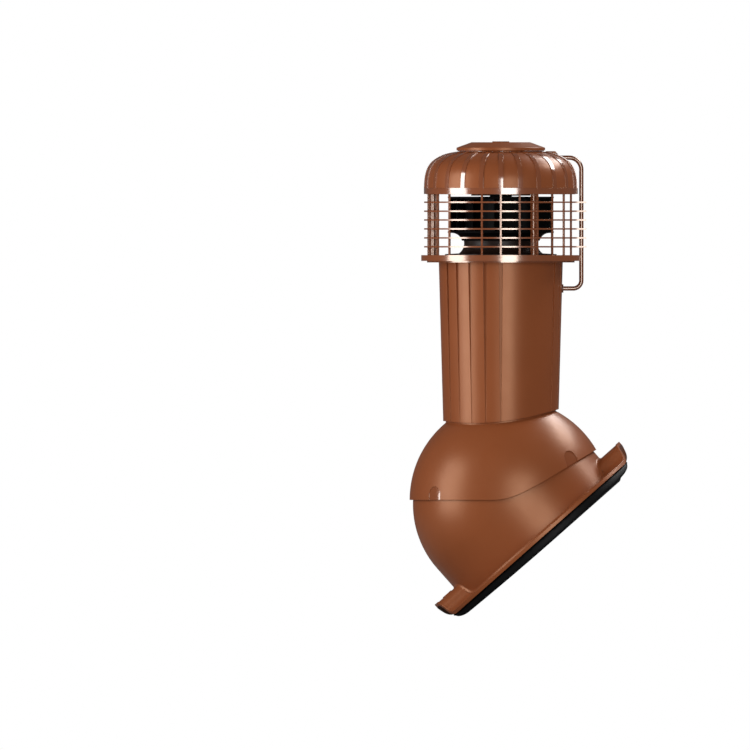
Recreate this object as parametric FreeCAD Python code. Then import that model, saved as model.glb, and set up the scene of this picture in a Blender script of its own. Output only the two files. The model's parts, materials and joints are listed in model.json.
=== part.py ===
"""Roof vent with a tilting hood, a fan under the cap and a flashing for a wavy roof.

Frame in millimetres: X runs across the slope and is the tilt axis direction,
+Y points up the slope, +Z is up and is the axis of the stack.  The origin is on
that axis, at the lower end of the duct.
"""
import math
import os

import FreeCAD
import Part
from FreeCAD import Vector as V

os.makedirs("parts", exist_ok=True)

# ---- driving dimensions -------------------------------------------------------------
PITCH = 41.5                   # slope the vent is set for, degrees
TILT_Y, TILT_Z = 15.8, 81.3    # tilt axis, parallel to X
# hood
HOOD_R, HOOD_X = 179.0, 154.0  # radius about the tilt axis and half width
HOOD_WALL = 2.4
HOOD_EDGE_Z = 80.6             # level front edge
POCKET_W, POCKET_D = 27.7, 1.1  # arched pockets in its skin
COLLAR_R, COLLAR_WALL, COLLAR_TOP = 98.6, 2.4, 258.0
SHELF_Z, SHELF_T = 243.0, 3.0  # ring in the collar that carries the duct
# dome of the flashing
BASE_R, BASE_X = 174.4, 149.0
BASE_T, BASE_N = -4.6, -7.0    # its centre, along and square to the slope
BASE_WALL = 2.6
MOUTH_FRONT, MOUTH_REAR = 40.0, 132.5  # opening under the hood, degrees from the front
MOUTH_X = 95.0                 # its half width
RUN = 0.3                      # gap of the hood on its guide ribs
GUIDE_X, GUIDE_W = 103.5, 5.0
# flange
FL_X, FL_T, FL_TC = 204.0, 220.5, -5.0  # half width, half length and centre
CREST_N, FLAT_N = -53.0, -84.0  # top of the wave and of its flats
CREST_X, CREST_FLAT = 28.0, 10.0  # middle of the crest and half of its flat top
FLANK_LOW, FLANK_STEEP = 110.0, 46.0  # its gentle side and its steep one
LIP = 5.2                      # thickness of the flange
BEAD_W, BEAD_UP = 3.6, 1.0     # raised bead along its rim
BOSS_R, BOSS_HOLE = 9.8, 2.4
SEAL_T = 17.0                  # foam seal under the flange
SEAL_IN, SEAL_W = 5.0, 21.0    # drawn in from the rim, and its width
SEAL_BOW = 5500.0              # radius of its bowed underside
SEAL_END = 14.0                # radius of its ends, seen from the side
ROLL_R = 11.5                  # foam roll that fills the front of the wave
# sleeve, duct and foam
SLEEVE_R, SLEEVE_Y, SLEEVE_Z, SLEEVE_WALL = 88.8, 22.4, 24.2, 2.5
CATCH_W, CATCH_Z0, CATCH_Z1 = 30.0, 44.5, 52.0
DUCT_R, DUCT_WALL, DUCT_TOP = 62.5, 1.6, 518.0
SPIGOT = 60.0                  # free end of the duct below its bead
DUCT_BEAD = 1.0
FOAM_GAP = 0.4                 # foam to collar
# stack
STACK_TOP, STACK_BOT = 505.7, 190.0
STACK_R1, STACK_R0 = 111.0, 102.3     # at the top and at STACK_BOT
STACK_WALL_TOP = 6.6
CASING_GAP = 0.2               # stack on the collar
CASING_RISE = 5.2              # lower edge of the stack above the hood
# cage
CAGE_Z0, CAGE_Z1 = 508.5, 518.9       # its flange
CAGE_R, SKIRT_R = 142.5, 132.1
RING_Z = (613.6, 597.5, 581.8, 565.8, 549.7, 533.8)
RING_R, RING_DEEP, RING_H = 137.3, 9.0, 2.7
BAR_OUT, BAR_DEEP, BAR_W = 131.6, 3.2, 3.2
POST_AT, POST_R, POST_IN = 121.0, 3.95, 110.1  # the three screw posts
LUG_W, LUG_OUT = 14.0, 152.9   # lugs that hold the cable pipe
# cap
RIM_Z0, RIM_Z1, RIM_R, RIM_WALL = 628.3, 639.0, 137.7, 3.0
RIB_W, RIB_UP = 8.0, 1.2
CAP_WALL = 3.0
CROWN_Z, CROWN_TOP, CROWN_R = 706.5, 721.0, 79.3
STEM_R = 7.9
PLUG_R, PLUG_STEM, PLUG_UP = 15.2, 4.9, 1.6
# fan
PLATE_Z, PLATE_T, PLATE_R = 631.0, 3.0, 133.2
CAGE_BOLT, MOTOR_BOLT = 1.6, 1.7      # screw radii
BOLT_GAP = 0.1
MOTOR_AT, MOTOR_R, MOTOR_Z = 32.0, 53.0, 625.2
CORE_R, CORE_Z0, CORE_Z1, COLUMN_R = 40.5, 600.0, 617.0, 20.0
SHAFT_R, SHAFT_Z0, SHAFT_Z1 = 3.95, 584.0, 632.0
BEARING_R, BEARING_GAP = 11.0, 0.05
LOW_Z0, LOW_Z1, UP_Z0 = 597.0, 603.0, 627.0   # bearing seats
CAN_R, CAN_WALL, CAN_Z0 = 46.0, 2.8, 592.0
IMP_TOP, IMP_BOT = 622.2, 560.2       # mid planes of the two fan discs
IMP_R = 95.0
BLADES, BLADE_IN, BLADE_OUT, BLADE_SWEEP = 14, 62.0, 91.5, 44.0
EYE_R, EYE_Z = 87.5, 539.9            # middle of the rolled edge of nozzle and fan eye
NOZZLE_ROLL, NOZZLE_WALL, SHROUD_ROLL = 21.8, 1.8, 18.6
NOZZLE_LIP = 162.0                       # where its rolled edge ends, inside the fan's eye
# cable pipe
PIPE_R, PIPE_WALL, PIPE_GAP = 3.95, 1.05, 0.15
PIPE_Y, PIPE_TOP, PIPE_LOW = 144.1, 693.3, 459.2   # its upright run and its two ends
PIPE_BEND_TOP, PIPE_BEND_LOW = 21.5, 14.3
GROMMET_R = 7.5
# --------------------------------------------------------------------------------------
COLLAR_BORE = COLLAR_R - COLLAR_WALL
POSTS, BETWEEN = (30, 150, 270), (90, 210, 330)   # degrees about the stack
LOW_END = FLAT_N - LIP - SEAL_T - 20              # below everything of the flashing


def cyl(r, z0, z1, x=0.0, y=0.0):
    return Part.makeCylinder(r, z1 - z0, V(x, y, z0))


def tube(r1, r0, z0, z1, x=0.0, y=0.0):
    return cyl(r1, z0, z1, x, y).cut(cyl(r0, z0 - 1, z1 + 1, x, y))


def box(x0, x1, y0, y1, z0, z1):
    return Part.makeBox(x1 - x0, y1 - y0, z1 - z0, V(x0, y0, z0))


def outward(shape):
    if shape.Volume < 0:
        shape.reverse()
    return shape


def turned(pts):
    """Solid turned about Z from (radius, height) points."""
    wire = Part.makePolygon([V(r, 0, z) for r, z in pts + pts[:1]])
    return outward(Part.Face(wire).revolve(V(0, 0, 0), V(0, 0, 1), 360))


def spun(shape, deg):
    return shape.rotated(V(0, 0, 0), V(0, 0, 1), deg)


def egg(r, half, y=TILT_Y, z=TILT_Z):
    """Ellipsoid, round about a line parallel to X."""
    m = FreeCAD.Matrix()
    m.scale(half / r, 1, 1)
    s = Part.makeSphere(r).rotated(V(0, 0, 0), V(0, 1, 0), 90).transformGeometry(m)
    s.translate(V(0, y, z))
    return s


def to_roof(shape):
    """From the frame of the slope (X, along, square to) at the tilt axis."""
    s = shape.rotated(V(0, 0, 0), V(1, 0, 0), PITCH)
    s.translate(V(0, TILT_Y, TILT_Z))
    return s


def smooth(pts, closed=False):
    c = Part.BSplineCurve()
    c.interpolate([V(*p) for p in pts], PeriodicFlag=closed)
    return c.toShape()


def save(name, shape):
    if shape.ShapeType == "Compound" and len(shape.Solids) == 1:
        shape = shape.Solids[0]
    if not shape.isValid() or not shape.Solids:
        print("BAD", name, shape.ShapeType, len(shape.Solids))
    elif len(shape.Solids) > 1:
        print("SOLIDS", name, len(shape.Solids))
    shape.exportStep("parts/%s.step" % name)
    b = shape.BoundBox
    print("%-18s %6.1f %6.1f  %6.1f %6.1f  %6.1f %6.1f" % (
        name, b.XMin, b.XMax, b.YMin, b.YMax, b.ZMin, b.ZMax))


# ---- flashing ----------------------------------------------------------------------------
def oval(a, b, n0, n1, tc):
    """Oval prism square to the slope, with half width a and half length b."""
    e = Part.Ellipse(V(0, 0, n0), max(a, b), min(a, b)).toShape()
    if b > a:
        e = e.rotated(V(0, 0, n0), V(0, 0, 1), 90)
    s = Part.Face(Part.Wire(e)).extrude(V(0, 0, n1 - n0))
    s.translate(V(0, tc, 0))
    return s


def plan(inset, n0, n1):
    """Prism over the outline of the flange, drawn in by inset."""
    return oval(FL_X - inset, FL_T - inset, n0, n1, FL_TC)


def flank_r(run):
    """Radius of the two equal arcs that make a flank."""
    rise = CREST_N - FLAT_N
    return ((run / 2) ** 2 + (rise / 2) ** 2) / rise


def wave_n(x):
    """Level of the flange's top at x."""
    run = FLANK_LOW if x < CREST_X else FLANK_STEEP
    r, u = flank_r(run), abs(x - CREST_X) - CREST_FLAT
    if u <= 0:
        return CREST_N
    if u < run / 2:
        return CREST_N - r + math.sqrt(r * r - u * u)
    return FLAT_N + r - math.sqrt(r * r - (run - u) ** 2) if u < run else FLAT_N


def flank(side, run, y, off):
    """Two arcs from the crest down to the flat, offset square to the surface."""
    r = flank_r(run)
    half = math.asin(run / 2 / r)

    def p(x, n):
        return V(CREST_X + side * (CREST_FLAT + x), y, n)

    def upper(a):
        return p((r + off) * math.sin(a), CREST_N - r + (r + off) * math.cos(a))

    def lower(a):
        return p(run - (r - off) * math.sin(a), FLAT_N + r - (r - off) * math.cos(a))
    return [Part.Arc(upper(0), upper(half / 2), upper(half)).toShape(),
            Part.Arc(lower(half), lower(half / 2), lower(0)).toShape()]


def wave(top, bottom=None):
    """Band that follows the roof wave between two offsets, or all that lies below one."""
    y, far = -300, 260
    x0, x3 = CREST_X - CREST_FLAT - FLANK_LOW, CREST_X + CREST_FLAT + FLANK_STEEP
    edges, ends = [], []
    for off in (top, bottom):
        if off is None:
            edges.append(Part.makeLine(V(-far, y, LOW_END), V(far, y, LOW_END)))
            ends.append(LOW_END)
            continue
        lo, hi = FLAT_N + off, CREST_N + off
        edges += [Part.makeLine(V(-far, y, lo), V(x0, y, lo))]
        edges += flank(-1, FLANK_LOW, y, off)
        edges += [Part.makeLine(V(CREST_X - CREST_FLAT, y, hi), V(CREST_X + CREST_FLAT, y, hi))]
        edges += flank(1, FLANK_STEEP, y, off)
        edges += [Part.makeLine(V(x3, y, lo), V(far, y, lo))]
        ends.append(lo)
    for x in (-far, far):
        edges.append(Part.makeLine(V(x, y, ends[0]), V(x, y, ends[1])))
    wire = Part.Wire(Part.__sortEdges__(edges))
    return outward(Part.Face(wire).extrude(V(0, 600, 0)))


def well(grow, n0, n1):
    """Upright wall of the dome: an oval prism square to the slope."""
    return oval(BASE_X + grow, BASE_R + grow, n0, n1, BASE_T)


def base_flashing():
    flange = wave(0, -LIP).common(plan(0, LOW_END, 0))
    bead = wave(BEAD_UP, -LIP / 2).common(plan(0, LOW_END, 0).cut(plan(BEAD_W, LOW_END - 5, 5)))
    cap = egg(BASE_R, BASE_X, BASE_T, BASE_N).cut(box(-300, 300, -300, 300, -400, BASE_N))
    hollow = egg(BASE_R - BASE_WALL, BASE_X - BASE_WALL, BASE_T, BASE_N).cut(
        box(-300, 300, -300, 300, -400, BASE_N - 1))
    # nothing of the wall or of a boss shows under the flange
    below = wave(-LIP / 4)
    shell = cap.fuse(well(0, FLAT_N - LIP, BASE_N)).cut(below)
    bosses = [Part.makeCylinder(BOSS_R, 30 + h, V(x, t, wave_n(x) - 30)).cut(below)
              for x, t, h in BOSSES]
    body = shell.fuse([flange, bead] + bosses)
    body = body.cut(hollow).cut(well(-BASE_WALL, LOW_END, BASE_N))
    body = body.cut([Part.makeCylinder(BOSS_HOLE, 20, V(x, t, wave_n(x) + h - 3))
                     for x, t, h in BOSSES])
    body = to_roof(body)
    # mouth under the hood, wide enough for the sleeve over the whole tilt
    pts = [V(-MOUTH_X, TILT_Y, TILT_Z + 20)]
    for deg in (MOUTH_FRONT, 0.5 * (MOUTH_FRONT + MOUTH_REAR), MOUTH_REAR):
        a = math.radians(deg)
        pts.append(V(-MOUTH_X, TILT_Y - 300 * math.cos(a), TILT_Z + 300 * math.sin(a)))
    mouth = Part.Face(Part.makePolygon(pts + pts[:1])).extrude(V(2 * MOUTH_X, 0, 0))
    return body.cut(mouth).fuse(guides())


def guides():
    """Two curved ribs on the dome that the hood slides on, hidden by it in every pose."""
    def reach(x):
        a, r = HOOD_X - HOOD_WALL, HOOD_R - HOOD_WALL
        return r * math.sqrt(1 - (x / a) ** 2) - RUN
    x0, x1 = GUIDE_X, GUIDE_X + GUIDE_W
    pts = [V(x0, -112, 0), V(x1, -112, 0), V(x1, -reach(x1), 0), V(x0, -reach(x0), 0)]
    face = Part.Face(Part.makePolygon(pts + pts[:1])).rotated(V(0, 0, 0), V(1, 0, 0), -12)
    right = outward(face.revolve(V(0, 0, 0), V(1, 0, 0), -118))
    right.translate(V(0, TILT_Y, TILT_Z))
    return [right, right.mirror(V(0, 0, 0), V(1, 0, 0))]


# round bosses of the flange: across, along the slope, and how far they stand proud
BOSSES = [(-147, 120, 12.0), (-187, 18, 7.0), (-162, -84, 4.5), (-82, -160, 3.5),
          (-20, 190, 4.0), (32, -196, 1.2), (100, -166, 1.5), (100, 156, 1.5),
          (150, 106, 1.5), (180, 18, 1.5), (160, -84, 1.5), (-92, 160, 3.0)]


def flashing_seal():
    """Foam ring under the flange, narrower at both ends of the wave, with a roll in front."""
    n1 = CREST_N + 5
    a, b = FL_X - SEAL_IN, FL_T - SEAL_IN
    outer = oval(a, b - 11, LOW_END, n1, FL_TC)
    full = oval(a, b, LOW_END, n1, FL_TC)
    x_flat = CREST_X + CREST_FLAT + FLANK_STEEP
    outer = outer.fuse(full.cut(box(-60, x_flat - 12, -300, 300, LOW_END - 1, n1 + 1)))
    ring = outer.cut(oval(a - SEAL_W, b - SEAL_W - 14, LOW_END - 1, n1 + 1, FL_TC))
    band = wave(-LIP, -LIP - SEAL_T).common(ring)
    bow = Part.makeCylinder(SEAL_BOW, 600, V(-300, 20, FLAT_N - LIP - SEAL_T + SEAL_BOW), V(1, 0, 0))
    low = FLAT_N - LIP - SEAL_T
    ends = box(-300, 300, FL_TC - b, FL_TC + b, low, n1)
    rims = [e for e in ends.Edges if e.BoundBox.ZMax < low + 1 and e.BoundBox.XLength > 500]
    band = band.common(bow).common(ends.makeFillet(SEAL_END, rims))
    front = FL_TC - FL_T + 14
    roll = Part.makeCylinder(ROLL_R, 26, V(CREST_X, front, CREST_N - LIP - ROLL_R), V(0, 1, 0))
    return to_roof(band.fuse(roll))


# ---- hood ---------------------------------------------------------------------------------
def edge_cut():
    """Everything below the lower edge of the hood, as a prism along X."""
    z0 = HOOD_EDGE_Z
    curve = smooth([(-260, -9.1, z0), (-260, 4.5, 82.3), (-260, 19.3, 86.1),
                    (-260, 34, 91.6), (-260, 48.0, 98.2), (-260, 76.4, 113.5)])
    wire = Part.Wire([
        Part.makeLine(V(-260, -300, z0), V(-260, -9.1, z0)), curve,
        Part.makeLine(V(-260, 76.4, 113.5), V(-260, 230.0, 206.2)),
        Part.makeLine(V(-260, 230.0, 206.2), V(-260, 230, -200)),
        Part.makeLine(V(-260, 230, -200), V(-260, -300, -200)),
        Part.makeLine(V(-260, -300, -200), V(-260, -300, z0))])
    return Part.Face(wire).extrude(V(520, 0, 0))


def arch(w, z0, z1):
    """Arch-topped prism along +Y, standing on z0."""
    r = w / 2
    wire = Part.Wire([
        Part.makeLine(V(-r, 0, z0), V(-r, 0, z1 - r)),
        Part.Arc(V(-r, 0, z1 - r), V(0, 0, z1), V(r, 0, z1 - r)).toShape(),
        Part.makeLine(V(r, 0, z1 - r), V(r, 0, z0)),
        Part.makeLine(V(r, 0, z0), V(-r, 0, z0))])
    return Part.Face(wire).extrude(V(0, 260, 0))


def tilt_hood():
    outer = egg(HOOD_R, HOOD_X)
    inner = egg(HOOD_R - HOOD_WALL, HOOD_X - HOOD_WALL)
    skin = outer.cut(egg(HOOD_R - POCKET_D, HOOD_X - POCKET_D))
    # collar that the stack slips over
    hood = outer.cut(inner).fuse(cyl(COLLAR_R, 150, COLLAR_TOP).cut(inner))
    hood = hood.cut(cyl(COLLAR_BORE, 140, 300))
    hood = hood.cut(edge_cut())
    for x, y, lo, hi in ((55, -73.6, 60, 104.6), (56.8, 60.4, 80, 168.5)):
        for sx in (1, -1):
            a = math.degrees(math.atan2(-sx * x, y))
            tool = arch(POCKET_W, lo, hi).rotated(V(0, 0, 0), V(0, 0, 1), a)
            tool.translate(V(0, TILT_Y, 0))
            hood = hood.cut(tool.common(skin))
    return hood


def duct_shelf():
    return tube(COLLAR_BORE, DUCT_R, SHELF_Z, SHELF_Z + SHELF_T)


def inner_sleeve():
    s = tube(SLEEVE_R, SLEEVE_R - SLEEVE_WALL, SLEEVE_Z, 300, 0, SLEEVE_Y)
    s = s.common(egg(HOOD_R - HOOD_WALL, HOOD_X - HOOD_WALL))
    # four raised catches near the lower rim
    for a in (45, 135, 225, 315):
        c = box(SLEEVE_R - 1, SLEEVE_R + 2.5, -CATCH_W / 2, CATCH_W / 2, CATCH_Z0, CATCH_Z1)
        c = spun(c, a)
        c.translate(V(0, SLEEVE_Y, 0))
        s = s.fuse(c)
    return s


# ---- stack ---------------------------------------------------------------------------------
def stack_casing():
    body = Part.makeCone(STACK_R0, STACK_R1, STACK_TOP - STACK_BOT, V(0, 0, STACK_BOT))
    body = body.cut(Part.makeCone(COLLAR_R + CASING_GAP, STACK_R1 - STACK_WALL_TOP,
                                  STACK_TOP - STACK_BOT, V(0, 0, STACK_BOT)))
    for mid in BETWEEN:
        for k in (-30, -15, 0, 15, 30):
            # groove: wide and deep at the top, fading out downwards
            def slot(r, deep, w0, w1, z):
                return Part.makePolygon([
                    V(r - deep, -w0, z), V(r + 5, -w1, z), V(r + 5, w1, z), V(r - deep, w0, z),
                    V(r - deep, -w0, z)])
            top = slot(STACK_R1, 3.4, 3.1, 3.6, STACK_TOP)
            bot = slot(STACK_R0, 0.3, 0.7, 1.1, STACK_BOT)
            g = Part.makeLoft([bot, top], True, True)
            body = body.cut(spun(g, mid + k))
    body = body.cut(egg(HOOD_R + CASING_RISE, HOOD_X + CASING_RISE))
    # hole of the cable pipe
    body = body.cut(Part.makeCylinder(PIPE_R, 30, V(0, 90, PIPE_LOW), V(0, 1, 0)))
    return body


def duct_pipe():
    bead = tube(DUCT_R + DUCT_BEAD, DUCT_R - DUCT_WALL, SPIGOT, SPIGOT + 4)
    return tube(DUCT_R, DUCT_R - DUCT_WALL, 0, DUCT_TOP).fuse(bead)


def insulation_sleeve():
    return tube(COLLAR_BORE - FOAM_GAP, DUCT_R, SHELF_Z + SHELF_T, STACK_TOP - 4)


# ---- cage and cap ----------------------------------------------------------------------------
def cage():
    s = tube(CAGE_R, DUCT_R, CAGE_Z0, CAGE_Z1)
    s = s.fuse(tube(SKIRT_R, DUCT_R, STACK_TOP, CAGE_Z0 + 1))
    s = s.fuse(tube(PLATE_R, BAR_OUT - 7.6, RIM_Z0 - 0.6, PLATE_Z))
    parts = []
    for z in RING_Z:
        z0, z1 = z - RING_H / 2, z + RING_H / 2
        ring = tube(RING_R, RING_R - RING_DEEP, z0, z1)
        parts.append(ring.fuse(box(-LUG_W / 2, LUG_W / 2, RING_R - 5.3, LUG_OUT, z0, z1)))
    for k in range(24):
        a = 15 * k
        if a in BETWEEN:
            continue
        if a in POSTS:
            p = box(POST_IN, BAR_OUT, -2.0, 2.0, CAGE_Z1 - 1, PLATE_Z)
            p = p.fuse(cyl(POST_R, CAGE_Z1 - 1, PLATE_Z, POST_AT, 0))
        else:
            p = box(BAR_OUT - BAR_DEEP, BAR_OUT, -BAR_W / 2, BAR_W / 2, CAGE_Z1 - 1, PLATE_Z)
        parts.append(spun(p, a))
    s = s.fuse(parts)
    # way of the cable pipe through the lugs and the flange
    hole = PIPE_R + PIPE_GAP
    s = s.cut(cyl(hole, CAGE_Z0 - 5, PLATE_Z, 0, PIPE_Y))
    s = s.cut(box(-hole, hole, PIPE_Y, PIPE_Y + 30, CAGE_Z0 - 5, CAGE_Z1 + 1))
    for a in POSTS:
        s = s.cut(spun(cyl(CAGE_BOLT, PLATE_Z - 16, PLATE_Z + 1, POST_AT, 0), a))
    return s.removeSplitter()


def bell(cx, cz, r, a0, a1, n=8):
    return [(cx + r * math.cos(math.radians(a0 + (a1 - a0) * i / n)),
             cz + r * math.sin(math.radians(a0 + (a1 - a0) * i / n))) for i in range(n + 1)]


def inlet_nozzle():
    """Flange on the cage's floor and a rolled throat that reaches into the fan's eye."""
    inner = bell(EYE_R, EYE_Z, NOZZLE_ROLL + NOZZLE_WALL, NOZZLE_LIP, 235)
    outer = bell(EYE_R, EYE_Z, NOZZLE_ROLL, 235, NOZZLE_LIP)
    pts = inner + [(74.2, CAGE_Z1), (100, CAGE_Z1), (100, CAGE_Z1 + NOZZLE_WALL)] + outer
    return turned(pts)


DOME = [(137.7, 639.0), (137.4, 646.0), (136.9, 653.4), (135.5, 663.0), (133.7, 669.5),
        (131.6, 674.8), (128.6, 680.2), (124.2, 685.6), (117.8, 690.9), (108.8, 696.2),
        (97.2, 700.6), (84.0, 703.4), (70.0, 704.9)]


def inset(pts, d):
    out = []
    for i, (r, z) in enumerate(pts):
        a, b = pts[max(i - 1, 0)], pts[min(i + 1, len(pts) - 1)]
        tr, tz = b[0] - a[0], b[1] - a[1]
        k = math.hypot(tr, tz)
        out.append((r - d * tz / k, z + d * tr / k))
    return out


def dome_solid(d, z_low=RIM_Z0):
    """Filled dome whose skin lies d inside the ribs."""
    pts = inset(DOME, d)
    pts[0] = (pts[0][0], DOME[0][1])
    top = pts[-1]
    curve = smooth([(r, 0, z) for r, z in pts])
    wire = Part.Wire([
        curve, Part.makeLine(V(top[0], 0, top[1]), V(0, 0, top[1])),
        Part.makeLine(V(0, 0, top[1]), V(0, 0, z_low)),
        Part.makeLine(V(0, 0, z_low), V(pts[0][0], 0, z_low)),
        Part.makeLine(V(pts[0][0], 0, z_low), V(pts[0][0], 0, pts[0][1]))])
    return outward(Part.Face(wire).revolve(V(0, 0, 0), V(0, 0, 1), 360))


def dome_cap():
    ribbed = dome_solid(0.0)
    panel = dome_solid(RIB_UP)
    rib = box(60, 160, -RIB_W / 2, RIB_W / 2, RIM_Z1 - 0.5, 720)
    ribs = Part.makeCompound([spun(rib, 15 * k) for k in range(24)])
    proud = ribbed.common(ribs)
    band = tube(RIM_R, RIM_R - RIM_WALL, RIM_Z0, RIM_Z1)
    centre = cyl(74, 690, DOME[-1][1])
    body = panel.fuse(proud.Solids + [band, centre])
    body = body.cut(dome_solid(RIB_UP + CAP_WALL, RIM_Z0 - 5))
    # ledge that sits on the fan's plate
    body = body.fuse(tube(RIM_R - RIM_WALL + 0.7, PLATE_R - 3.7, PLATE_Z + PLATE_T, RIM_Z1 + 3))
    # holes of the crown's stem and of the cable pipe
    body = body.cut(cyl(STEM_R, 600, 720))
    body = body.cut(Part.makeCylinder(PIPE_R, 30, V(0, 100, PIPE_TOP), V(0, 1, 0)))
    return body.removeSplitter()


def crown_plate():
    z, low = CROWN_Z, DOME[-1][1]
    pts = [(0, z), (CROWN_R, z), (CROWN_R, z + 4.6), (CROWN_R - 1.7, z + 5.4),
           (52.4, CROWN_TOP), (0, CROWN_TOP)]
    s = turned(pts).fuse(cyl(40, low, z)).fuse(cyl(STEM_R, low - 15, z))
    return s.cut(cyl(PLUG_STEM + 0.1, CROWN_TOP - 5, CROWN_TOP + 4))


def crown_plug():
    return cyl(PLUG_R, CROWN_TOP, CROWN_TOP + PLUG_UP).fuse(
        cyl(PLUG_STEM, CROWN_TOP - 4.5, CROWN_TOP + 0.5))


def fan_mount_plate():
    lo, hi = PLATE_Z - 5, PLATE_Z + PLATE_T + 5
    s = cyl(PLATE_R, PLATE_Z, PLATE_Z + PLATE_T).cut(cyl(14, lo, hi))
    for a in POSTS:
        s = s.cut(spun(cyl(CAGE_BOLT + BOLT_GAP, lo, hi, POST_AT, 0), a))
    for a in BETWEEN:
        s = s.cut(spun(cyl(MOTOR_BOLT + BOLT_GAP, lo, hi, MOTOR_AT, 0), a))
        # air slots let the motor breathe
        s = s.cut(spun(box(62, 100, -14, 14, lo, hi), a + 60))
    return s


# ---- fan -------------------------------------------------------------------------------------
def motor_stator():
    s = cyl(MOTOR_R, MOTOR_Z, PLATE_Z).fuse(cyl(COLUMN_R, CORE_Z0 - 2, MOTOR_Z + 0.8))
    s = s.fuse(cyl(CORE_R, CORE_Z0, CORE_Z1))
    s = s.cut(cyl(SHAFT_R + 1.25, CORE_Z0 - 10, PLATE_Z + 9))
    s = s.cut(cyl(BEARING_R, LOW_Z0, LOW_Z1)).cut(cyl(BEARING_R, UP_Z0, PLATE_Z + 1))
    for k in range(12):
        s = s.cut(spun(box(24, CORE_R + 1.5, -2.2, 2.2, CORE_Z0 - 1, CORE_Z1 + 1), 30 * k))
    for a in BETWEEN:
        s = s.cut(spun(cyl(MOTOR_BOLT, MOTOR_Z + 0.8, PLATE_Z + 9, MOTOR_AT, 0), a))
    return s


def bearing(z0, z1):
    return tube(BEARING_R, SHAFT_R + BEARING_GAP, z0, z1)


def screw(x, z_seat, length, r, head_r, head_h):
    """Screw from above: head on the seat, shank below it."""
    s = cyl(r, z_seat - length, z_seat + 0.5, x, 0).fuse(cyl(head_r, z_seat, z_seat + head_h, x, 0))
    return s.cut(box(x - head_r - 1, x + head_r + 1, -0.5, 0.5, z_seat + head_h * 0.6, z_seat + head_h + 1))


def rotor_can():
    rim = IMP_TOP - 1.4                # the fan's top disc rests on the can's collar
    s = cyl(CAN_R, CAN_Z0, rim + 2.9).cut(cyl(CAN_R - CAN_WALL, CAN_Z0 + 3, rim + 10))
    s = s.cut(cyl(SHAFT_R, CAN_Z0 - 2, CAN_Z0 + 8))
    s = s.fuse(tube(CAN_R + 10, CAN_R - 1.5, rim - 1.8, rim))
    return s.fuse(tube(9, SHAFT_R, CAN_Z0 - 6, CAN_Z0 + 1))


def rotor_shaft():
    return cyl(SHAFT_R, SHAFT_Z0, SHAFT_Z1)


def impeller():
    s = tube(IMP_R, CAN_R, IMP_TOP - 1.4, IMP_TOP + 1.4)
    arc = bell(EYE_R, EYE_Z, SHROUD_ROLL + 1.7, 90, 165)
    arc_in = bell(EYE_R, EYE_Z, SHROUD_ROLL, 165, 90)
    low, high = IMP_BOT - 1.5, IMP_BOT + 1.4
    shroud = turned([(IMP_R, low), (IMP_R, high), (EYE_R, high)] + arc + arc_in)
    s = s.fuse(shroud)
    blades = []
    for k in range(BLADES):
        # backward curved blade as a bent strip
        line = []
        for i in range(7):
            r = BLADE_IN + (BLADE_OUT - BLADE_IN) * i / 6
            w = math.radians(BLADE_SWEEP) * i / 6
            line.append((r * math.cos(w), r * math.sin(w), IMP_BOT - 0.7))
        up = [V(*p) for p in line]
        dn = [V(p[0] * 0.978, p[1] * 0.978, p[2]) for p in reversed(line)]
        f = Part.Face(Part.makePolygon(up + dn + up[:1]))
        blades.append(spun(f.extrude(V(0, 0, IMP_TOP - IMP_BOT)), 360 / BLADES * k))
    s = s.fuse(blades)
    return s.fuse(tube(IMP_R - 4, IMP_R - 9, IMP_TOP - 2.8, IMP_TOP))


# ---- cable pipe -------------------------------------------------------------------------------
def bend(r, big, y, z, a0):
    """Quarter of a ring about (y, z) in the YZ plane, from angle a0 on towards +Z."""
    c, t = math.cos(math.radians(a0)), math.sin(math.radians(a0))
    ring = Part.makeCircle(r, V(0, y + big * c, z + big * t), V(0, -t, c))
    return outward(Part.Face(Part.Wire(ring)).revolve(V(0, y, z), V(1, 0, 0), 90))


def conduit_run(r):
    """Run of radius r from the cap's side, down past the cage, into the stack."""
    r1, r2 = PIPE_BEND_TOP, PIPE_BEND_LOW

    def rod(y0, z0, y1, z1):
        d = V(0, y1 - y0, z1 - z0)
        return Part.makeCylinder(r, d.Length, V(0, y0, z0), d)
    return rod(104, PIPE_TOP, PIPE_Y - r1, PIPE_TOP).fuse([
        bend(r, r1, PIPE_Y - r1, PIPE_TOP - r1, 0),
        rod(PIPE_Y, PIPE_TOP - r1, PIPE_Y, PIPE_LOW + r2),
        bend(r, r2, PIPE_Y - r2, PIPE_LOW + r2, -90),
        rod(PIPE_Y - r2, PIPE_LOW, 104.4, PIPE_LOW)])


def conduit_tube():
    return conduit_run(PIPE_R).cut(conduit_run(PIPE_R - PIPE_WALL))


def conduit_gland():
    """Block on the cap beside the crown, over the pipe's upper end."""
    y, z0, z1 = 80.2, PIPE_TOP - 13.3, PIPE_TOP + 11.7
    pts = [V(-8, y, z0), V(-8, y, z1), V(-8, y + 17.3, z1), V(-8, y + 22.3, z1 - 5.5), V(-8, y + 22.3, z0)]
    s = Part.Face(Part.makePolygon(pts + pts[:1])).extrude(V(16, 0, 0))
    return s.cut(dome_solid(0.0))


def conduit_grommet():
    s = Part.makeCylinder(GROMMET_R, 6.0, V(0, 106.0, PIPE_LOW), V(0, 1, 0))
    s = s.cut(Part.makeCone(STACK_R0, STACK_R1, STACK_TOP - STACK_BOT, V(0, 0, STACK_BOT)))
    return s.cut(Part.makeCylinder(PIPE_R, 30, V(0, 95, PIPE_LOW), V(0, 1, 0)))


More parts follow.
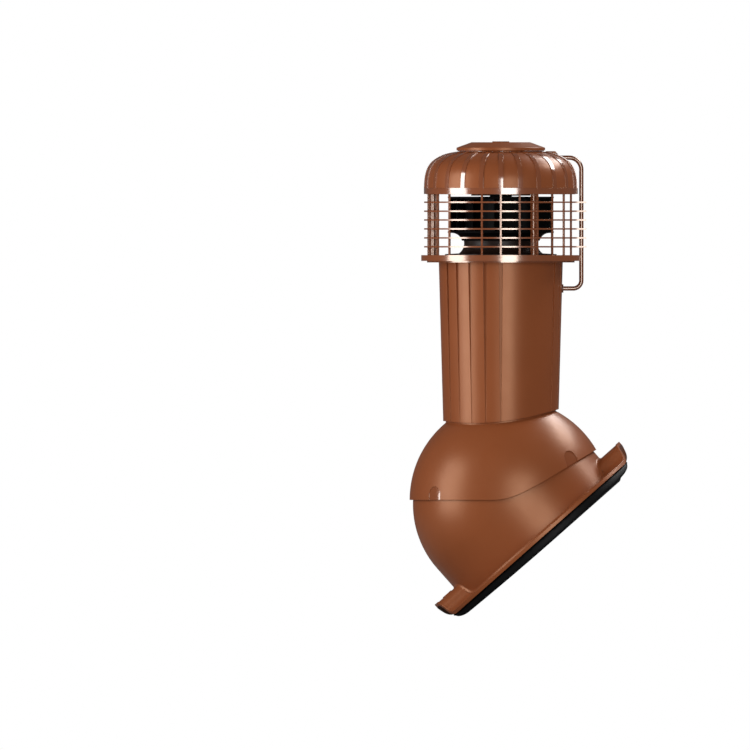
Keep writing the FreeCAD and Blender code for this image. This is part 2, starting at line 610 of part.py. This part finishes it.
save("base_flashing", base_flashing())
save("flashing_seal", flashing_seal())
save("tilt_hood", tilt_hood())
save("duct_shelf", duct_shelf())
save("inner_sleeve", inner_sleeve())
save("stack_casing", stack_casing())
save("duct_pipe", duct_pipe())
save("insulation_sleeve", insulation_sleeve())
save("cage", cage())
save("inlet_nozzle", inlet_nozzle())
save("dome_cap", dome_cap())
save("crown_plate", crown_plate())
save("crown_plug", crown_plug())
save("fan_mount_plate", fan_mount_plate())
save("motor_stator", motor_stator())
save("bearing_upper", bearing(UP_Z0, SHAFT_Z1))
save("bearing_lower", bearing(LOW_Z0, LOW_Z1))
for i, a in enumerate(POSTS):
    save("cage_screw_%d" % (i + 1),
         spun(screw(POST_AT, PLATE_Z + PLATE_T, 15, CAGE_BOLT, 3.4, 2.4), a))
for i, a in enumerate(BETWEEN):
    save("motor_screw_%d" % (i + 1),
         spun(screw(MOTOR_AT, PLATE_Z + PLATE_T, 7.5, MOTOR_BOLT, 3.6, 2.4), a))
save("conduit_tube", conduit_tube())
save("conduit_gland", conduit_gland())
save("conduit_grommet", conduit_grommet())
save("rotor_can", rotor_can())
save("rotor_shaft", rotor_shaft())
save("impeller", impeller())
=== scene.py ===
"""Looks of the roof vent: brown moulded plastic over a black fan, in a plain pale studio.

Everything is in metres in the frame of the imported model: +Z is the axis of the stack, +Y
is up the slope of the roof, and the camera stands level on the +X side. Each section gives
one group of solids its material. Three pieces are made here: the hollow foot of the dome,
the seal with its rounded ends, and the seat under the crown's plate.
"""
import json
import math

import bmesh
import bpy
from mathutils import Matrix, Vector
from mathutils.bvhtree import BVHTree


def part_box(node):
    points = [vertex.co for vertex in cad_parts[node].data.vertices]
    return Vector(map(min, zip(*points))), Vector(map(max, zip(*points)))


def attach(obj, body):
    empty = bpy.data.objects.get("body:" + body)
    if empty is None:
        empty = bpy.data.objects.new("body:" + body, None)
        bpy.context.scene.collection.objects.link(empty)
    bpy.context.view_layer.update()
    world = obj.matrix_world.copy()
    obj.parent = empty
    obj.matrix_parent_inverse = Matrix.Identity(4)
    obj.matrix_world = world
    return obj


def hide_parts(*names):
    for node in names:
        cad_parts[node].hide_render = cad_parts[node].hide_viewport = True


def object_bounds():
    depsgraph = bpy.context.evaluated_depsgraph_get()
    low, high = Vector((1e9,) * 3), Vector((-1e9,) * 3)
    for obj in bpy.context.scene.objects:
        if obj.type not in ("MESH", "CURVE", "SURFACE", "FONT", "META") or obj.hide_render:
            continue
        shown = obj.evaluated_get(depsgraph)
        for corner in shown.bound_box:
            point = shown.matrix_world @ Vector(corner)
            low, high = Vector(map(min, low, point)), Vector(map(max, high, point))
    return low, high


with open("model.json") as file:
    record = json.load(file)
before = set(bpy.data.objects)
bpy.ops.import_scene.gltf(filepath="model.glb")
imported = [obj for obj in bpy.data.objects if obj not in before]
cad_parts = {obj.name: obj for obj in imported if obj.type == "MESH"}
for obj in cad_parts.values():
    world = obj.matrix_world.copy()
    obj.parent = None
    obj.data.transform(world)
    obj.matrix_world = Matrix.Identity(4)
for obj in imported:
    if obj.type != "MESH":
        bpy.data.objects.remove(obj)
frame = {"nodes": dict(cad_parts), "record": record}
cad_box = [list(corner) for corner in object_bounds()]
nodes = frame["nodes"]
scene = bpy.context.scene

# ---- flashing --------------------------------------------------------------------------------
# The wavy base that lies on the roof: one injection moulding in brown polypropylene with a
# satin skin, a bead along its rim and low bosses, and the dome that the hood slides on.
MM = 0.001
BROWN = (0.230, 0.062, 0.0200)
PEEL_DEPTH = 0.15 * MM         # of the orange peel at full strength

# What the mould leaves on every plastic skin here: a slow drift of tone, a polish that
# wanders a little, fine orange peel, and edges that are rounded off.
mould_skin = bpy.data.node_groups.new("mould_skin", "ShaderNodeTree")
for name, kind, value in (("Tone", "NodeSocketColor", (*BROWN, 1)),
                          ("Drift", "NodeSocketFloat", 0.05),
                          ("Roughness", "NodeSocketFloat", 0.4),
                          ("Wander", "NodeSocketFloat", 0.1),
                          ("Peel", "NodeSocketFloat", 0.1),
                          ("Edge", "NodeSocketFloat", 0.8 * MM)):
    mould_skin.interface.new_socket(name, in_out="INPUT", socket_type=kind).default_value = value
for name, kind in (("Color", "NodeSocketColor"), ("Roughness", "NodeSocketFloat"),
                   ("Normal", "NodeSocketVector")):
    mould_skin.interface.new_socket(name, in_out="OUTPUT", socket_type=kind)
given = mould_skin.nodes.new("NodeGroupInput").outputs
made = mould_skin.nodes.new("NodeGroupOutput").inputs
place = mould_skin.nodes.new("ShaderNodeTexCoord")
link = mould_skin.links.new


def maths(tree, operation, *values):
    """A maths node in a node tree; each value is a number or an output to link."""
    node = tree.nodes.new("ShaderNodeMath")
    node.operation = operation
    for socket, value in zip(node.inputs, values):
        if isinstance(value, bpy.types.NodeSocket):
            tree.links.new(value, socket)
        else:
            socket.default_value = value
    return node.outputs[0]


def noise(scale, detail):
    """A noise of the mould's skin, on the piece's own coordinates."""
    tex = mould_skin.nodes.new("ShaderNodeTexNoise")
    tex.inputs["Scale"].default_value = scale
    tex.inputs["Detail"].default_value = detail
    mould_skin.links.new(place.outputs["Object"], tex.inputs["Vector"])
    return tex.outputs["Fac"]


cloud = noise(9.0, 3.0)        # about 110 mm across
smear = noise(40.0, 4.0)       # about 25 mm
grit = noise(900.0, 2.0)       # about 1 mm

swing = maths(mould_skin, "MULTIPLY_ADD", cloud, 4.0, -2.0)      # -1 to 1 over the cloud
toned = mould_skin.nodes.new("ShaderNodeVectorMath")
toned.operation = "SCALE"
link(given["Tone"], toned.inputs[0])
link(maths(mould_skin, "MULTIPLY_ADD", swing, given["Drift"], 1.0), toned.inputs["Scale"])
link(toned.outputs["Vector"], made["Color"])

rub = maths(mould_skin, "SUBTRACT", smear, 0.5)
link(maths(mould_skin, "MULTIPLY_ADD", rub, given["Wander"], given["Roughness"]),
     made["Roughness"])

rounded = mould_skin.nodes.new("ShaderNodeBevel")
rounded.samples = 8
peel = mould_skin.nodes.new("ShaderNodeBump")
peel.inputs["Distance"].default_value = PEEL_DEPTH
link(given["Edge"], rounded.inputs["Radius"])
link(given["Peel"], peel.inputs["Strength"])
link(grit, peel.inputs["Height"])
link(rounded.outputs["Normal"], peel.inputs["Normal"])
link(peel.outputs["Normal"], made["Normal"])


def moulded(name, tone, roughness, ior=1.5, tint=(1, 1, 1), shine=0.5, **skin):
    """A plastic or rubber of one tone with the moulded skin, whose group node is "skin".

    shine and tint are the strength and colour of its sheen; skin sets the group's inputs.
    """
    mat = bpy.data.materials.new(name)
    mat.use_nodes = True
    body = mat.node_tree.nodes["Principled BSDF"]
    body.inputs["IOR"].default_value = ior
    body.inputs["Specular IOR Level"].default_value = shine
    body.inputs["Specular Tint"].default_value = (*tint, 1)
    group = mat.node_tree.nodes.new("ShaderNodeGroup")
    group.node_tree = mould_skin
    group.name = "skin"
    group.inputs["Tone"].default_value = (*tone, 1)
    group.inputs["Roughness"].default_value = roughness
    for key, value in skin.items():
        group.inputs[key.capitalize()].default_value = value
    for plug, socket in (("Color", "Base Color"), ("Roughness", "Roughness"),
                         ("Normal", "Normal")):
        mat.node_tree.links.new(group.outputs[plug], body.inputs[socket])
    return mat


def dress(mat, *names):
    """Puts one material on these solids."""
    for name in names:
        slots = nodes[name].data.materials
        slots.clear()
        slots.append(mat)


WARM = (1.0, 0.60, 0.38)       # tint of the satin skin's sheen
SATIN = 0.34                   # its roughness
brown_satin = moulded("brown_satin", BROWN, SATIN, ior=1.6, tint=WARM, peel=0.10)
dress(brown_satin, "base_flashing")

# ---- foot of the dome ------------------------------------------------------------------------
# Where the dome grows out of the flange the mould leaves a hollow round, which follows the
# wave. The flange's height beside the wall is felt for with rays.
hood_joint = next(j for j in frame["record"]["behaviour"]["joints"] if j["name"] == "hood_tilt")
TILT = Vector(hood_joint["pos_m"])           # on the hood's axis, in the middle of the dome
PITCH = math.radians(41.5)                   # of the roof that it is built for
up_slope = Vector((0, math.cos(PITCH), math.sin(PITCH)))
off_slope = Vector((0, -math.sin(PITCH), math.cos(PITCH)))
across_slope = Vector((1, 0, 0))
WALL_ACROSS, WALL_ALONG = 149.0 * MM, 174.4 * MM   # half axes of the dome's upright wall
WALL_MIDDLE = -4.6 * MM                      # up the slope from the tilt axis
FOOT_STEPS = 240                             # sections all round
RAY_START = 40 * MM                          # over the tilt axis, clear of the whole flange
# the foot's section in mm: how far out from the wall, and how high over the flange
FOOT = [(0.0, 4.3), (0.1, 3.3), (0.35, 2.55), (0.75, 1.85), (1.25, 1.25), (1.85, 0.75),
        (2.55, 0.35), (3.3, 0.1), (4.4, -0.1), (3.0, -0.8), (-0.8, -0.8), (-0.8, 4.3)]


def ring_mesh(name, loops):
    """A closed ring of equal closed loops of points, as an object with smooth faces."""
    count, size = len(loops), len(loops[0])
    faces = [(k * size + i, k * size + (i + 1) % size,
              (k + 1) % count * size + (i + 1) % size, (k + 1) % count * size + i)
             for k in range(count) for i in range(size)]
    mesh = bpy.data.meshes.new(name)
    mesh.from_pydata([point for loop in loops for point in loop], [], faces)
    tidy = bmesh.new()
    tidy.from_mesh(mesh)
    bmesh.ops.recalc_face_normals(tidy, faces=tidy.faces)
    tidy.to_mesh(mesh)
    tidy.free()
    mesh.shade_smooth()
    ring = bpy.data.objects.new(name, mesh)
    scene.collection.objects.link(ring)
    return ring


flashing_mesh = nodes["base_flashing"].data
flashing_tree = BVHTree.FromPolygons([v.co for v in flashing_mesh.vertices],
                                     [f.vertices[:] for f in flashing_mesh.polygons])


def over_flange(turn, out):
    """Place beside the wall and, square to the slope, how high the flange is there."""
    side = Vector((math.cos(turn) / WALL_ACROSS, math.sin(turn) / WALL_ALONG)).normalized()
    x = WALL_ACROSS * math.cos(turn) + out * side.x
    t = WALL_MIDDLE + WALL_ALONG * math.sin(turn) + out * side.y
    spot = TILT + x * across_slope + t * up_slope
    hit = flashing_tree.ray_cast(spot + RAY_START * off_slope, -off_slope)[0]
    return spot, (hit - TILT).dot(off_slope) if hit else 0.0


def felt(out):
    """The flange's height all round at one distance, without a ray that slipped or met a boss."""
    rows = [over_flange(math.tau * k / FOOT_STEPS, out)[1] for k in range(FOOT_STEPS)]
    fives = [sorted(rows[(k + d) % FOOT_STEPS] for d in range(-2, 3)) for k in range(FOOT_STEPS)]
    return [five[2] for five in fives]       # the middle one of five neighbours


NEAR, FAR = 1.0 * MM, 5.0 * MM               # from the wall, where the flange is felt
loops = []
for k, (low, high) in enumerate(zip(felt(NEAR), felt(FAR))):
    loop = []
    for out, height in FOOT:
        spot = over_flange(math.tau * k / FOOT_STEPS, out * MM)[0]
        share = min(max((out * MM - NEAR) / (FAR - NEAR), 0.0), 1.0)
        loop.append(spot + (low + share * (high - low) + height * MM) * off_slope)
    loops.append(loop)
foot = ring_mesh("dome_foot", loops)
foot.data.materials.append(brown_satin)
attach(foot, "flashing")

# ---- seal ------------------------------------------------------------------------------------
# A band of black cellular rubber, cut from sheet and glued under the whole rim, with a roll
# of the same in the front of the wave. Cut foam has soft edges, and both ends are rounded.
SEAL_MIDDLE, SEAL_REACH = -5.0 * MM, 205.0 * MM    # along the slope
SEAL_STRETCH = 1.012                         # to the rim of the flange at both ends
SEAL_END, SEAL_DRAW = 13.0 * MM, 28.0 * MM   # height and length of its rounded ends
SEAL_RISE = 3.4 * MM                         # of its bowed underside, towards the ends
WELD = 0.01 * MM                             # corners of the solid that are one point
CELL = 2.5 * MM                              # of the new mesh
SOFTENINGS = 4

sheet = bmesh.new()
sheet.from_mesh(nodes["flashing_seal"].data)
bmesh.ops.remove_doubles(sheet, verts=sheet.verts, dist=WELD)
band_mesh = bpy.data.meshes.new("seal_band")
sheet.to_mesh(band_mesh)
sheet.free()
band = bpy.data.objects.new("seal_band", band_mesh)
scene.collection.objects.link(band)
cells = band.modifiers.new("cells", "REMESH")
cells.mode = "VOXEL"
cells.voxel_size = CELL
cells.use_smooth_shade = True
depsgraph = bpy.context.evaluated_depsgraph_get()
foamed = bpy.data.meshes.new_from_object(band.evaluated_get(depsgraph))
band.modifiers.clear()
band.data = foamed

sheet = bmesh.new()
sheet.from_mesh(foamed)
lowest = min((vert.co - TILT).dot(off_slope) for vert in sheet.verts) + SEAL_RISE
for vert in sheet.verts:
    along = (vert.co - TILT).dot(up_slope) - SEAL_MIDDLE
    vert.co += along * (SEAL_STRETCH - 1) * up_slope
    past = min((abs(along) * SEAL_STRETCH - SEAL_REACH) / SEAL_DRAW + 1, 1.0)
    if past > 0:
        underside = lowest + SEAL_END * (1 - math.sqrt(1 - past ** 2))
        short = underside - (vert.co - TILT).dot(off_slope)
        if short > 0:
            vert.co += short * off_slope
for _ in range(SOFTENINGS):
    bmesh.ops.smooth_vert(sheet, verts=sheet.verts, factor=0.5,
                          use_axis_x=True, use_axis_y=True, use_axis_z=True)
sheet.to_mesh(foamed)
sheet.free()
seal_rubber = moulded("seal_rubber", (0.0034, 0.0034, 0.0037), 0.5, shine=0.12,
                      drift=0.15, peel=0.6, edge=0.3 * MM)
foamed.materials.clear()
foamed.materials.append(seal_rubber)
dress(seal_rubber, "flashing_seal")
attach(band, "flashing")
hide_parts("flashing_seal")

# ---- hood ------------------------------------------------------------------------------------
# The shell that slides over the dome: satin, but the floors of its four arched pockets are
# polished. A pocket's floor is where the skin lies deeper than the shell's ellipsoid.
HOOD_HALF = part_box("tilt_hood")[1][0]        # half its width across the slope
HOOD_RADIUS = 179.0 * MM                     # about the tilt axis
POCKET_DEPTH = 1.1 * MM
POLISHED = 0.13                              # roughness of polished places

hood_plastic = moulded("hood_plastic", BROWN, SATIN, ior=1.6, tint=WARM, peel=0.06)
tree = hood_plastic.node_tree
link = tree.links.new
hood_body = tree.nodes["Principled BSDF"]
hood_body.inputs["Coat IOR"].default_value = 2.0
hood_body.inputs["Coat Roughness"].default_value = 0.08
where = tree.nodes.new("ShaderNodeTexCoord")
ball = tree.nodes.new("ShaderNodeMapping")
ball.vector_type = "TEXTURE"
ball.inputs["Location"].default_value = TILT
ball.inputs["Scale"].default_value = (HOOD_HALF, HOOD_RADIUS, HOOD_RADIUS)
reach = tree.nodes.new("ShaderNodeVectorMath")
reach.operation = "LENGTH"
polish = tree.nodes.new("ShaderNodeMapRange")
polish.inputs["To Min"].default_value = SATIN
polish.inputs["To Max"].default_value = POLISHED
link(where.outputs["Object"], ball.inputs["Vector"])
link(ball.outputs["Vector"], reach.inputs[0])
pocket = maths(tree, "COMPARE", reach.outputs["Value"],      # its depth, give or take half
               1.0 - POCKET_DEPTH / HOOD_RADIUS, 0.5 * POCKET_DEPTH / HOOD_RADIUS)
link(pocket, polish.inputs["Value"])
link(polish.outputs["Result"], tree.nodes["skin"].inputs["Roughness"])
link(pocket, hood_body.inputs["Coat Weight"])
dress(hood_plastic, "tilt_hood")

# ---- duct ------------------------------------------------------------------------------------
# What carries the air through the roof: a dark grey pipe in pale foam, held by a sleeve and
# a ring inside the hood's collar. Seen from below and through the cage.
dress(brown_satin, "inner_sleeve", "duct_shelf")
dress(moulded("duct_grey", (0.055, 0.053, 0.050), 0.42, peel=0.15), "duct_pipe")
dress(moulded("foam_grey", (0.34, 0.34, 0.31), 0.9, drift=0.15, peel=1.0), "insulation_sleeve")

# ---- stack -----------------------------------------------------------------------------------
# The tapered casing around the duct and its foam, of the same satin plastic. Sets of grooves,
# deep at the top and fading out downwards, run along it, and its foot goes over the collar.
dress(brown_satin, "stack_casing")

# ---- cage, nozzle and cable pipe -------------------------------------------------------------
# The ringed cage is moulded glossy, and the cable pipe beside it is drawn in a deeper brown.
# The rolled nozzle inside is brown plastic with a near-black tone painted in as shade, and gland
# and grommet are small satin mouldings.
PALE_SHEEN = (1.0, 0.84, 0.72)
KEEN_EDGE = 0.1 * MM
dress(moulded("brown_gloss", BROWN, 0.18, ior=2.7, tint=PALE_SHEEN, peel=0.02, edge=KEEN_EDGE),
      "cage")
dress(moulded("pipe_gloss", (0.150, 0.039, 0.013), 0.14, ior=2.4, tint=PALE_SHEEN, peel=0.02,
              edge=KEEN_EDGE), "conduit_tube")
# painted shade: the nozzle's brown is darkened nearly to black for the shade it sits in under the
# fan
dress(moulded("nozzle_painted_shade", (0.016, 0.007, 0.0045), 0.4, shine=0.3), "inlet_nozzle")
dress(moulded("grommet_brown", (0.11, 0.036, 0.017), 0.35), "conduit_grommet")
dress(moulded("gland_brown", (0.19, 0.052, 0.018), 0.35, ior=1.6, tint=WARM), "conduit_gland")

# ---- fan -------------------------------------------------------------------------------------
# An external-rotor fan: its wheel and can are black glass-filled plastic, its motor is
# painted black, and it hangs by steel screws from a pressed steel plate.
dress(moulded("fan_black", (0.0030, 0.0030, 0.0033), 0.5, shine=0.04, drift=0.1, peel=0.1),
      "impeller", "rotor_can")
dress(moulded("motor_black", (0.012, 0.012, 0.013), 0.6, shine=0.2, drift=0.2, peel=0.8),
      "motor_stator")

# The steel has turning marks, a grain drawn out along the axis's circles.
turned_steel = bpy.data.materials.new("turned_steel")
turned_steel.use_nodes = True
tree = turned_steel.node_tree
link = tree.links.new
steel_body = tree.nodes["Principled BSDF"]
steel_body.inputs["Metallic"].default_value = 1.0
where = tree.nodes.new("ShaderNodeTexCoord")
drawn = tree.nodes.new("ShaderNodeMapping")
drawn.inputs["Scale"].default_value = (1.0, 1.0, 14.0)
grain = tree.nodes.new("ShaderNodeTexNoise")      # about 6 mm long and 0.5 mm high
grain.inputs["Scale"].default_value = 160.0
grain.inputs["Detail"].default_value = 5.0
tone = tree.nodes.new("ShaderNodeValToRGB")
tone.color_ramp.elements[0].color = (0.36, 0.36, 0.37, 1)
tone.color_ramp.elements[1].color = (0.60, 0.60, 0.61, 1)
scratch = tree.nodes.new("ShaderNodeMapRange")
scratch.inputs["To Min"].default_value = 0.25
scratch.inputs["To Max"].default_value = 0.45
link(where.outputs["Object"], drawn.inputs["Vector"])
link(drawn.outputs["Vector"], grain.inputs["Vector"])
link(grain.outputs["Fac"], tone.inputs["Fac"])
link(grain.outputs["Fac"], scratch.inputs["Value"])
link(tone.outputs["Color"], steel_body.inputs["Base Color"])
link(scratch.outputs["Result"], steel_body.inputs["Roughness"])
dress(turned_steel, "fan_mount_plate", "bearing_upper", "bearing_lower", "rotor_shaft",
      *[n for n in nodes if "_screw_" in n])

# ---- cap -------------------------------------------------------------------------------------
# The cover with a rib every 15 degrees: its panels are satin, its ribs and the band under
# them are polished. A round plate with a low plug closes the middle.
RIB_STEP = math.radians(15)
RIB_HALF = 4.2 * MM                          # half the width of a rib
BAND_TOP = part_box("dome_cap")[0][2] + 10.8 * MM

cap_plastic = moulded("cap_plastic", BROWN, SATIN, ior=1.6, tint=WARM, peel=0.06, edge=0.5 * MM)
tree = cap_plastic.node_tree
link = tree.links.new
cap_body = tree.nodes["Principled BSDF"]
cap_body.inputs["Coat IOR"].default_value = 2.3
cap_body.inputs["Coat Roughness"].default_value = 0.14


def on_cap(operation, *values):
    """A maths node of the cap's material."""
    return maths(cap_plastic.node_tree, operation, *values)


where = tree.nodes.new("ShaderNodeTexCoord")
split = tree.nodes.new("ShaderNodeSeparateXYZ")
link(where.outputs["Object"], split.inputs[0])
x, y, z = split.outputs
radius = on_cap("SQRT", on_cap("ADD", on_cap("MULTIPLY", x, x), on_cap("MULTIPLY", y, y)))
turn = on_cap("ARCTAN2", y, x)
nearest_rib = on_cap("MULTIPLY", on_cap("ROUND", on_cap("DIVIDE", turn, RIB_STEP)), RIB_STEP)
beside = on_cap("ABSOLUTE", on_cap("SUBTRACT", turn, nearest_rib))
across = on_cap("MULTIPLY", radius, on_cap("SINE", beside))
polished = on_cap("MAXIMUM", on_cap("LESS_THAN", across, RIB_HALF),
                  on_cap("LESS_THAN", z, BAND_TOP))
link(polished, cap_body.inputs["Coat Weight"])
link(on_cap("MULTIPLY_ADD", polished, POLISHED - SATIN, SATIN),
     tree.nodes["skin"].inputs["Roughness"])
dress(cap_plastic, "dome_cap")
dress(brown_satin, "crown_plate", "crown_plug")

# The round plate stands on a low seat, a flat ring moulded on the cap around its stem. Its
# section is given by radius and height in mm.
SEAT = [(40.3, 704.95), (40.3, 706.45), (76.6, 706.45), (77.4, 706.1), (77.6, 704.95)]
SEAT_STEPS = 120
turns = [math.tau * k / SEAT_STEPS for k in range(SEAT_STEPS)]
seat = ring_mesh("crown_seat", [[(r * MM * math.cos(turn), r * MM * math.sin(turn), z * MM)
                                 for r, z in SEAT] for turn in turns])
seat.data.materials.append(brown_satin)
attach(seat, "head")

# ---- floor -----------------------------------------------------------------------------------
# A plain pale floor just under the lowest edge, which fades into the white room about the
# vent. It throws little light back, and from below it is clear, to show the underside.
FLOOR_HALF, FADE_FROM = 2.4, 0.8     # half its side, and how far out it starts to fade
LEVEL = cad_box[0][2] - 2 * MM
PALE, THROWN = 0.88, 0.18            # as the camera sees it, and for the light it throws back
floor_mesh = bpy.data.meshes.new("floor")
floor_mesh.from_pydata([(x * FLOOR_HALF, y * FLOOR_HALF, LEVEL)
                        for x, y in ((-1, -1), (1, -1), (1, 1), (-1, 1))],
                       [], [(0, 1, 2, 3)])
floor = bpy.data.objects.new("floor", floor_mesh)
scene.collection.objects.link(floor)
paper = bpy.data.materials.new("studio_paper")
paper.use_nodes = True
tree = paper.node_tree
link = tree.links.new
paper_body = tree.nodes["Principled BSDF"]
paper_body.inputs["Roughness"].default_value = 0.9
ray = tree.nodes.new("ShaderNodeLightPath")
pale = tree.nodes.new("ShaderNodeMix")
pale.data_type = "RGBA"
pale.inputs["A"].default_value = (THROWN, THROWN, THROWN, 1)
pale.inputs["B"].default_value = (PALE, PALE, PALE, 1)
side = tree.nodes.new("ShaderNodeNewGeometry")
where = tree.nodes.new("ShaderNodeTexCoord")
away = tree.nodes.new("ShaderNodeVectorMath")
away.operation = "LENGTH"
fade = tree.nodes.new("ShaderNodeMapRange")
fade.interpolation_type = "SMOOTHSTEP"
fade.inputs["From Min"].default_value = FADE_FROM
fade.inputs["From Max"].default_value = FLOOR_HALF
clear = tree.nodes.new("ShaderNodeBsdfTransparent")
either = tree.nodes.new("ShaderNodeMixShader")
link(ray.outputs["Is Camera Ray"], pale.inputs["Factor"])
link(pale.outputs["Result"], paper_body.inputs["Base Color"])
link(where.outputs["Object"], away.inputs[0])
link(away.outputs["Value"], fade.inputs["Value"])
link(maths(tree, "MAXIMUM", side.outputs["Backfacing"], fade.outputs["Result"]),
     either.inputs["Fac"])
link(paper_body.outputs["BSDF"], either.inputs[1])
link(clear.outputs["BSDF"], either.inputs[2])
link(either.outputs["Shader"], tree.nodes["Material Output"].inputs["Surface"])
floor_mesh.materials.append(paper)

# ---- camera ----------------------------------------------------------------------------------
# Level and square to the side of the vent, at the scale and place of the photograph.
PHOTO = 750                          # its width and height in pixels
PER_PIXEL = 1.79 * MM
AXIS_PX, ORIGIN_PX = 500.8, 545.0    # where the stack's axis and the model's origin stand in it
STAND_OFF = 3.0
eye = bpy.data.cameras.new("camera")
eye.type = "ORTHO"
eye.ortho_scale = PHOTO * PER_PIXEL
camera = bpy.data.objects.new("camera", eye)
camera.location = (STAND_OFF, (PHOTO / 2 - AXIS_PX) * PER_PIXEL,
                   (ORIGIN_PX - PHOTO / 2) * PER_PIXEL)
camera.rotation_euler = (math.radians(90), 0, math.radians(90))
scene.collection.objects.link(camera)
scene.camera = camera

# ---- lamps -----------------------------------------------------------------------------------
# Two upright soft boxes, one beside the camera and one far to its left, and a long one
# high behind on the right. All are plain white.
MIDDLE = Vector((0, 0, 0.33))        # of the vent, which they face
LAMP_DISTANCE = 3.0


def soft_box(name, azimuth, elevation, wide, high, radiance):
    """An area lamp that faces the vent; azimuth runs from the camera's side towards +Y."""
    a, e = math.radians(azimuth), math.radians(elevation)
    lamp = bpy.data.lights.new(name, "AREA")
    lamp.shape = "RECTANGLE"
    lamp.size, lamp.size_y = wide, high
    lamp.energy = radiance * math.pi * wide * high
    box = bpy.data.objects.new(name, lamp)
    outward = Vector((math.cos(a) * math.cos(e), math.sin(a) * math.cos(e), math.sin(e)))
    box.location = MIDDLE + LAMP_DISTANCE * outward
    box.rotation_euler = (MIDDLE - box.location).to_track_quat("-Z", "Y").to_euler()
    scene.collection.objects.link(box)


soft_box("box_right", azimuth=12, elevation=4, wide=1.25, high=1.7, radiance=6.2)
soft_box("box_left", azimuth=-66.5, elevation=4, wide=1.55, high=3.0, radiance=5.6)
soft_box("box_top", azimuth=126, elevation=46, wide=2.7, high=0.9, radiance=10.0)

# ---- room ------------------------------------------------------------------------------------
# A white room for the camera. Gloss sees a dim studio, which is somewhat lighter behind the
# vent; the rest of the light is even and soft.
STUDIO, BACKDROP = 0.06, 0.10        # as gloss sees them
BACKDROP_X = -0.80, -0.92            # direction where one changes into the other
EVEN_LIGHT = 0.30
room = bpy.data.worlds.new("room")
scene.world = room
room.use_nodes = True
tree = room.node_tree
tree.nodes.clear()
link = tree.links.new
path = tree.nodes.new("ShaderNodeLightPath").outputs
toward = tree.nodes.new("ShaderNodeTexCoord")
apart = tree.nodes.new("ShaderNodeSeparateXYZ")
backdrop = tree.nodes.new("ShaderNodeMapRange")
backdrop.inputs["From Min"].default_value, backdrop.inputs["From Max"].default_value = BACKDROP_X
backdrop.inputs["To Min"].default_value = STUDIO
backdrop.inputs["To Max"].default_value = BACKDROP
white = tree.nodes.new("ShaderNodeBackground")
white.inputs["Strength"].default_value = 1.0
mirrored = tree.nodes.new("ShaderNodeBackground")
soft = tree.nodes.new("ShaderNodeBackground")
soft.inputs["Strength"].default_value = EVEN_LIGHT
for shade in (white, mirrored, soft):
    shade.inputs["Color"].default_value = (1, 1, 1, 1)
first = tree.nodes.new("ShaderNodeMixShader")
second = tree.nodes.new("ShaderNodeMixShader")
end = tree.nodes.new("ShaderNodeOutputWorld")
link(toward.outputs["Generated"], apart.inputs[0])
link(apart.outputs["X"], backdrop.inputs["Value"])
link(backdrop.outputs["Result"], mirrored.inputs["Strength"])
link(maths(tree, "MAXIMUM", path["Is Glossy Ray"], path["Is Transmission Ray"]),
     first.inputs["Fac"])
link(soft.outputs[0], first.inputs[1])
link(mirrored.outputs[0], first.inputs[2])
link(path["Is Camera Ray"], second.inputs["Fac"])
link(first.outputs[0], second.inputs[1])
link(white.outputs[0], second.inputs[2])
link(second.outputs[0], end.inputs["Surface"])

scene.view_settings.view_transform = "Standard"
